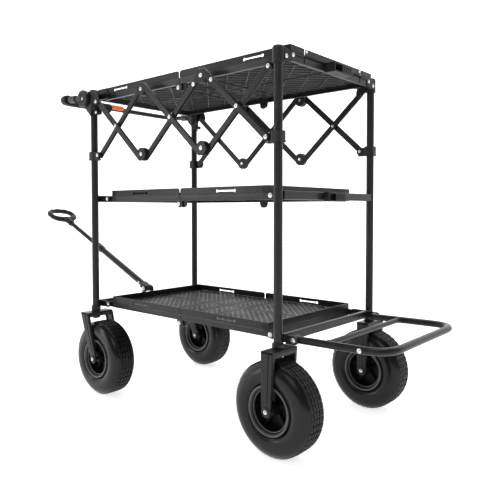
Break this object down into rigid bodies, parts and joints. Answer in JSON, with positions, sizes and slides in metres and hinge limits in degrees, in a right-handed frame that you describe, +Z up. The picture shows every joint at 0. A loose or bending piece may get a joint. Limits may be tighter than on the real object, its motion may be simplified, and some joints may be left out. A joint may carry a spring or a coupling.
{
  "type": "folding camp wagon",
  "caption": "Folding camp wagon with stacked tray shelves, scissor side lattice, wide tyres, swivel front casters, telescopic pull handle, push handle and fold-out cargo extension.",
  "frame": {"origin": "floor level, at the middle of the wagon's box seen from above", "axes": "+X along the wagon from the pull handle towards the cargo extension, +Y across towards its right side, +Z up"},
  "size_m": [1.9111, 0.612, 1.125],
  "materials": {
    "frame": "satin black powder coat",
    "plastic": "moulded black nylon",
    "tyre": "smooth sidewall, block tread",
    "foam": "black foam sleeve",
    "release_tab": "orange moulded plastic",
    "fastener": "bright zinc bolts and rivets"
  },
  "bodies": {
    "front_frame": {"post_front_left": "frame", "post_front_right": "frame", "bar_front_bottom": "frame", "bar_front_mid": "frame", "bar_front_top": "frame", "bracket_front_left": "plastic", "bracket_front_right": "plastic", "pull_bracket": "frame"},
    "rear_frame": {"post_rear_left": "frame", "post_rear_right": "frame", "bar_rear_bottom": "frame", "bar_rear_mid": "frame", "bar_rear_top": "frame", "bracket_rear_left": "plastic", "bracket_rear_right": "plastic", "fork_rear_left": "frame", "fork_rear_right": "frame"},
    "shelf_mid_front": {"shelf_mid_front": "frame"},
    "shelf_mid_rear": {"shelf_mid_rear": "frame"},
    "shelf_bottom_front": {"shelf_bottom_front": "frame"},
    "shelf_bottom_rear": {"shelf_bottom_rear": "frame"},
    "shelf_top_front": {"shelf_top_front": "frame"},
    "shelf_top_rear": {"shelf_top_rear": "frame"},
    "bar_left_a1": {"bar_left_a1": "frame"},
    "bar_left_b1": {"bar_left_b1": "frame"},
    "collar_front_left": {"collar_front_left": "plastic"},
    "bar_left_a2": {"bar_left_a2": "frame"},
    "bar_left_b2": {"bar_left_b2": "frame"},
    "bar_left_b3": {"bar_left_b3": "frame"},
    "bar_left_a3": {"bar_left_a3": "frame"},
    "collar_rear_left": {"collar_rear_left": "plastic"},
    "bar_right_a1": {"bar_right_a1": "frame"},
    "bar_right_b1": {"bar_right_b1": "frame"},
    "collar_front_right": {"collar_front_right": "plastic"},
    "bar_right_a2": {"bar_right_a2": "frame"},
    "bar_right_b2": {"bar_right_b2": "frame"},
    "bar_right_b3": {"bar_right_b3": "frame"},
    "bar_right_a3": {"bar_right_a3": "frame"},
    "collar_rear_right": {"collar_rear_right": "plastic"},
    "caster_left": {"fork_front_left": "frame"},
    "wheel_front_left": {"tyre_front_left": "tyre", "rim_front_left": "plastic"},
    "wheel_rear_left": {"tyre_rear_left": "tyre", "rim_rear_left": "plastic"},
    "caster_right": {"fork_front_right": "frame"},
    "wheel_front_right": {"tyre_front_right": "tyre", "rim_front_right": "plastic"},
    "wheel_rear_right": {"tyre_rear_right": "tyre", "rim_rear_right": "plastic"},
    "pull_handle": {"pull_lower_tube": "frame"},
    "pull_handle_inner": {"pull_upper_tube": "frame", "pull_grip": "plastic"},
    "push_handle": {"push_bar": "frame", "push_grip": "foam"},
    "release_tab": {"release_tab": "release_tab"},
    "extension": {"extension_frame": "frame"}
  },
  "joints": [
    {"name": "frame_fold", "type": "hinge", "parent": "front_frame", "child": "shelf_mid_front", "pos_m": [-0.1914, 0, 0.715], "axis": [0, -1, 0], "range_deg": [0, 75.6]},
    {"name": "shelf_mid_rear_fold", "type": "hinge", "parent": "shelf_mid_front", "child": "shelf_mid_rear", "pos_m": [0.1986, 0, 0.691], "axis": [0, -1, 0], "range_deg": [-151.7, 0]},
    {"name": "rear_frame_upright", "type": "hinge", "parent": "shelf_mid_rear", "child": "rear_frame", "pos_m": [0.5886, 0, 0.715], "axis": [0, -1, 0], "range_deg": [0, 76.1]},
    {"name": "shelf_bottom_front_fold", "type": "hinge", "parent": "front_frame", "child": "shelf_bottom_front", "pos_m": [-0.1914, 0, 0.322], "axis": [0, -1, 0], "range_deg": [0, 76.1]},
    {"name": "shelf_bottom_rear_fold", "type": "hinge", "parent": "rear_frame", "child": "shelf_bottom_rear", "pos_m": [0.5886, 0, 0.322], "axis": [0, -1, 0], "range_deg": [-76.1, 0]},
    {"name": "shelf_top_front_fold", "type": "hinge", "parent": "front_frame", "child": "shelf_top_front", "pos_m": [-0.1914, 0, 1.095], "axis": [0, -1, 0], "range_deg": [0, 76.1]},
    {"name": "shelf_top_rear_fold", "type": "hinge", "parent": "rear_frame", "child": "shelf_top_rear", "pos_m": [0.5886, 0, 1.095], "axis": [0, -1, 0], "range_deg": [-76.1, 0]},
    {"name": "bar_left_a1_turn", "type": "hinge", "parent": "front_frame", "child": "bar_left_a1", "pos_m": [-0.20035, -0.259, 1.06812], "axis": [0, -1, 0], "range_deg": [-37.46, 0]},
    {"name": "bar_left_b1_turn", "type": "hinge", "parent": "bar_left_a1", "child": "bar_left_b1", "pos_m": [-0.09134, -0.248, 0.971], "axis": [0, -1, 0], "range_deg": [0, 74.42]},
    {"name": "collar_front_left_slide", "type": "hinge", "parent": "bar_left_b1", "child": "collar_front_left", "pos_m": [-0.20035, -0.248, 0.87388], "axis": [0, -1, 0], "range_deg": [-37.46, 0]},
    {"name": "bar_left_a2_turn", "type": "hinge", "parent": "bar_left_b1", "child": "bar_left_a2", "pos_m": [0.05363, -0.259, 1.08007], "axis": [0, -1, 0], "range_deg": [-74.42, 0]},
    {"name": "bar_left_b2_turn", "type": "hinge", "parent": "bar_left_a1", "child": "bar_left_b2", "pos_m": [0.05363, -0.248, 0.86193], "axis": [0, -1, 0], "range_deg": [0, 74.42]},
    {"name": "bar_left_b3_turn", "type": "hinge", "parent": "rear_frame", "child": "bar_left_b3", "pos_m": [0.59755, -0.248, 1.06812], "axis": [0, -1, 0], "range_deg": [0, 37.46]},
    {"name": "bar_left_a3_turn", "type": "hinge", "parent": "bar_left_b3", "child": "bar_left_a3", "pos_m": [0.48854, -0.259, 0.971], "axis": [0, -1, 0], "range_deg": [-74.42, 0]},
    {"name": "collar_rear_left_slide", "type": "hinge", "parent": "bar_left_a3", "child": "collar_rear_left", "pos_m": [0.59755, -0.259, 0.87388], "axis": [0, -1, 0], "range_deg": [0, 37.46]},
    {"name": "bar_right_a1_turn", "type": "hinge", "parent": "front_frame", "child": "bar_right_a1", "pos_m": [-0.20035, 0.259, 1.06812], "axis": [0, -1, 0], "range_deg": [-37.46, 0]},
    {"name": "bar_right_b1_turn", "type": "hinge", "parent": "bar_right_a1", "child": "bar_right_b1", "pos_m": [-0.09134, 0.248, 0.971], "axis": [0, -1, 0], "range_deg": [0, 74.42]},
    {"name": "collar_front_right_slide", "type": "hinge", "parent": "bar_right_b1", "child": "collar_front_right", "pos_m": [-0.20035, 0.248, 0.87388], "axis": [0, -1, 0], "range_deg": [-37.46, 0]},
    {"name": "bar_right_a2_turn", "type": "hinge", "parent": "bar_right_b1", "child": "bar_right_a2", "pos_m": [0.05363, 0.259, 1.08007], "axis": [0, -1, 0], "range_deg": [-74.42, 0]},
    {"name": "bar_right_b2_turn", "type": "hinge", "parent": "bar_right_a1", "child": "bar_right_b2", "pos_m": [0.05363, 0.248, 0.86193], "axis": [0, -1, 0], "range_deg": [0, 74.42]},
    {"name": "bar_right_b3_turn", "type": "hinge", "parent": "rear_frame", "child": "bar_right_b3", "pos_m": [0.59755, 0.248, 1.06812], "axis": [0, -1, 0], "range_deg": [0, 37.46]},
    {"name": "bar_right_a3_turn", "type": "hinge", "parent": "bar_right_b3", "child": "bar_right_a3", "pos_m": [0.48854, 0.259, 0.971], "axis": [0, -1, 0], "range_deg": [-74.42, 0]},
    {"name": "collar_rear_right_slide", "type": "hinge", "parent": "bar_right_a3", "child": "collar_rear_right", "pos_m": [0.59755, 0.259, 0.87388], "axis": [0, -1, 0], "range_deg": [0, 37.46]},
    {"name": "caster_left_swivel", "type": "hinge", "parent": "front_frame", "child": "caster_left", "pos_m": [-0.2364, -0.252, 0.299], "axis": [0, 0, 1], "continuous": true},
    {"name": "wheel_front_left_spin", "type": "hinge", "parent": "caster_left", "child": "wheel_front_left", "pos_m": [-0.1784, -0.252, 0.133], "axis": [0, 1, 0], "continuous": true},
    {"name": "wheel_rear_left_spin", "type": "hinge", "parent": "rear_frame", "child": "wheel_rear_left", "pos_m": [0.6346, -0.252, 0.133], "axis": [0, 1, 0], "continuous": true},
    {"name": "caster_right_swivel", "type": "hinge", "parent": "front_frame", "child": "caster_right", "pos_m": [-0.2364, 0.252, 0.299], "axis": [0, 0, 1], "continuous": true},
    {"name": "wheel_front_right_spin", "type": "hinge", "parent": "caster_right", "child": "wheel_front_right", "pos_m": [-0.1784, 0.252, 0.133], "axis": [0, 1, 0], "continuous": true},
    {"name": "wheel_rear_right_spin", "type": "hinge", "parent": "rear_frame", "child": "wheel_rear_right", "pos_m": [0.6346, 0.252, 0.133], "axis": [0, 1, 0], "continuous": true},
    {"name": "pull_handle_pitch", "type": "hinge", "parent": "front_frame", "child": "pull_handle", "pos_m": [-0.2484, 0, 0.353], "axis": [0, 1, 0], "range_deg": [-50, 44]},
    {"name": "pull_handle_telescope", "type": "slide", "parent": "pull_handle", "child": "pull_handle_inner", "axis": [0.9121, 0, -0.4099], "range_m": [0, 0.2]},
    {"name": "push_handle_tilt", "type": "hinge", "parent": "front_frame", "child": "push_handle", "pos_m": [-0.2674, 0, 1.086], "axis": [0, 1, 0], "range_deg": [-80, 60]},
    {"name": "release_tab_turn", "type": "hinge", "parent": "push_handle", "child": "release_tab", "pos_m": [-0.4154, -0.027, 1.097], "axis": [0, 1, 0], "range_deg": [0, 15], "stiffness_Nm_per_rad": 0.4},
    {"name": "extension_fold", "type": "hinge", "parent": "rear_frame", "child": "extension", "pos_m": [0.6706, 0, 0.318], "axis": [0, -1, 0], "range_deg": [0, 88]}
  ],
  "couplings": [
    {"joint": "shelf_mid_rear_fold", "follows": "frame_fold", "ratio": -2},
    {"joint": "rear_frame_upright", "follows": "frame_fold", "ratio": 1},
    {"joint": "shelf_bottom_front_fold", "follows": "frame_fold", "ratio": 1},
    {"joint": "shelf_bottom_rear_fold", "follows": "frame_fold", "ratio": -1},
    {"joint": "shelf_top_front_fold", "follows": "frame_fold", "ratio": 1},
    {"joint": "shelf_top_rear_fold", "follows": "frame_fold", "ratio": -1},
    {"joint": "bar_left_a1_turn", "follows": "frame_fold", "ratio": -0.4889},
    {"joint": "bar_left_b1_turn", "follows": "frame_fold", "ratio": 0.9778},
    {"joint": "collar_front_left_slide", "follows": "frame_fold", "ratio": -0.4889},
    {"joint": "bar_left_a2_turn", "follows": "frame_fold", "ratio": -0.9778},
    {"joint": "bar_left_b2_turn", "follows": "frame_fold", "ratio": 0.9778},
    {"joint": "bar_left_b3_turn", "follows": "frame_fold", "ratio": 0.4889},
    {"joint": "bar_left_a3_turn", "follows": "frame_fold", "ratio": -0.9778},
    {"joint": "collar_rear_left_slide", "follows": "frame_fold", "ratio": 0.4889},
    {"joint": "bar_right_a1_turn", "follows": "frame_fold", "ratio": -0.4889},
    {"joint": "bar_right_b1_turn", "follows": "frame_fold", "ratio": 0.9778},
    {"joint": "collar_front_right_slide", "follows": "frame_fold", "ratio": -0.4889},
    {"joint": "bar_right_a2_turn", "follows": "frame_fold", "ratio": -0.9778},
    {"joint": "bar_right_b2_turn", "follows": "frame_fold", "ratio": 0.9778},
    {"joint": "bar_right_b3_turn", "follows": "frame_fold", "ratio": 0.4889},
    {"joint": "bar_right_a3_turn", "follows": "frame_fold", "ratio": -0.9778},
    {"joint": "collar_rear_right_slide", "follows": "frame_fold", "ratio": 0.4889}
  ]
}
